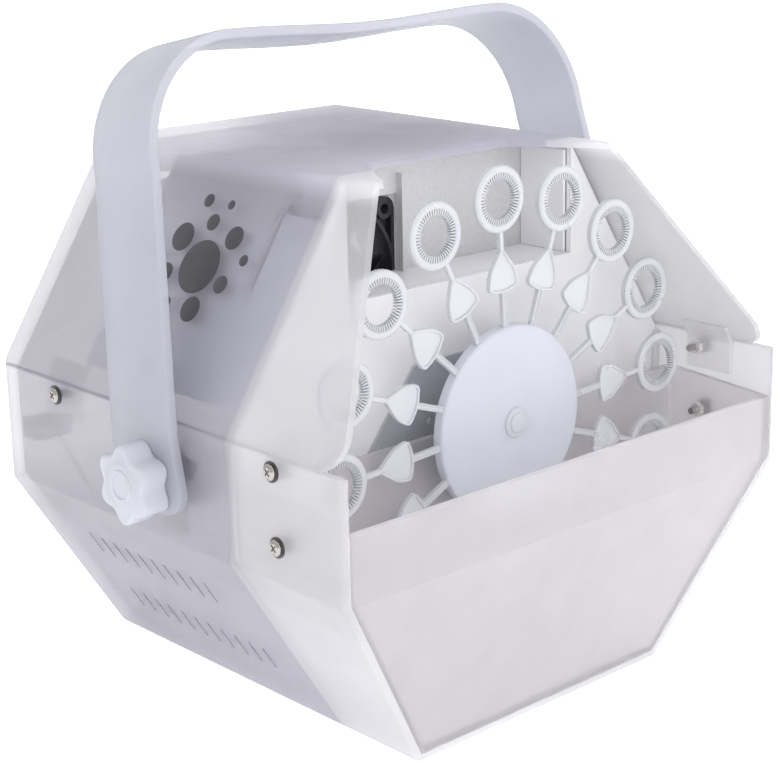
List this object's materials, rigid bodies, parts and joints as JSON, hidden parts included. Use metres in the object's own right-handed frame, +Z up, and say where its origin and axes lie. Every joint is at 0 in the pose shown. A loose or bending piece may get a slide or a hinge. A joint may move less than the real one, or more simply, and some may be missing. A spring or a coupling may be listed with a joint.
{
  "type": "bubble machine",
  "caption": "Eight-sided frosted plastic bubble machine with a wheel of wands over a fluid tank, a fan behind the wheel and a bail handle clamped by star knobs.",
  "frame": {"origin": "middle of the underside, on the surface it stands on", "axes": "+X to the right seen from the front, the front faces -Y, +Z up"},
  "size_m": [0.2934, 0.222, 0.2797],
  "materials": {
    "frosted_shell": "frosted",
    "frosted_tank": "frosted",
    "milky_plastic": "satin",
    "handle_plastic": "satin",
    "sheet_steel": "satin",
    "plated_steel": "satin",
    "dark_steel": "satin",
    "bright_steel": "polished",
    "brass_collar": "polished",
    "gear_nylon": "matte",
    "black_plastic": "matte",
    "board_green": "satin",
    "board_white": "satin",
    "led_lens": "clear",
    "red_cable": "satin",
    "blue_cable": "satin",
    "black_cable": "satin"
  },
  "bodies": {
    "housing": {"lower_shell": "frosted_shell", "fluid_tank": "frosted_tank", "upper_cover": "frosted_shell", "cover_tabs": "frosted_shell", "rear_panel": "frosted_shell", "rear_panel_screws": "bright_steel", "partition": "frosted_tank", "air_duct": "frosted_tank", "inner_housing": "sheet_steel", "fan_frame": "black_plastic", "fan_screws": "bright_steel", "fan_lead": "red_cable", "idler_pin": "bright_steel", "gear_case": "plated_steel", "gear_flange": "plated_steel", "motor_can": "plated_steel", "motor_bracket": "dark_steel", "bracket_screws": "bright_steel", "motor_lead": "blue_cable", "left_spacer": "handle_plastic", "right_spacer": "handle_plastic", "stud_nuts": "bright_steel", "case_screws": "bright_steel", "case_washers": "bright_steel", "case_nuts": "bright_steel", "control_board": "board_green", "board_parts": "black_plastic", "board_posts": "handle_plastic", "led_board": "board_white", "leds": "led_lens", "rocker_switch_body": "black_plastic", "power_inlet": "black_plastic", "inlet_nut": "bright_steel", "supply_lead": "black_cable"},
    "wheel": {"bubble_wheel": "milky_plastic", "drive_collar": "brass_collar", "collar_screw": "dark_steel", "output_shaft": "bright_steel", "output_gear": "gear_nylon"},
    "idler": {"idler_gear": "gear_nylon"},
    "motor rotor": {"motor_rotor": "dark_steel"},
    "fan rotor": {"fan_rotor": "black_plastic"},
    "carrying handle": {"handle": "handle_plastic"},
    "left clamp knob": {"left_knob": "milky_plastic", "left_stud": "bright_steel"},
    "right clamp knob": {"right_knob": "milky_plastic", "right_stud": "bright_steel"},
    "rocker": {"switch_rocker": "black_plastic"}
  },
  "joints": [
    {"name": "wheel_spin", "type": "hinge", "parent": "housing", "child": "wheel", "pos_m": [0, -0.045, 0.121], "axis": [0, 1, 0], "continuous": true},
    {"name": "idler_spin", "type": "hinge", "parent": "housing", "child": "idler", "pos_m": [0.01146, -0.034, 0.116], "axis": [0, 1, 0], "continuous": true},
    {"name": "motor_spin", "type": "hinge", "parent": "housing", "child": "motor rotor", "pos_m": [0, -0.02, 0.111], "axis": [0, 1, 0], "continuous": true},
    {"name": "fan_spin", "type": "hinge", "parent": "housing", "child": "fan rotor", "pos_m": [-0.0425, -0.006, 0.179], "axis": [0, 1, 0], "continuous": true},
    {"name": "handle_swing", "type": "hinge", "parent": "housing", "child": "carrying handle", "pos_m": [0, -0.0055, 0.113], "axis": [1, 0, 0], "range_deg": [-24, 55]},
    {"name": "left_knob_turn", "type": "hinge", "parent": "housing", "child": "left clamp knob", "pos_m": [-0.125, -0.0055, 0.113], "axis": [1, 0, 0], "continuous": true},
    {"name": "right_knob_turn", "type": "hinge", "parent": "housing", "child": "right clamp knob", "pos_m": [0.125, -0.0055, 0.113], "axis": [1, 0, 0], "continuous": true},
    {"name": "switch_rock", "type": "hinge", "parent": "housing", "child": "rocker", "pos_m": [0.062, 0.104, 0.055], "axis": [0, 0, 1], "range_deg": [-18, 0]}
  ],
  "couplings": [
    {"joint": "idler_spin", "follows": "wheel_spin", "ratio": -4},
    {"joint": "motor_spin", "follows": "wheel_spin", "ratio": 16}
  ]
}
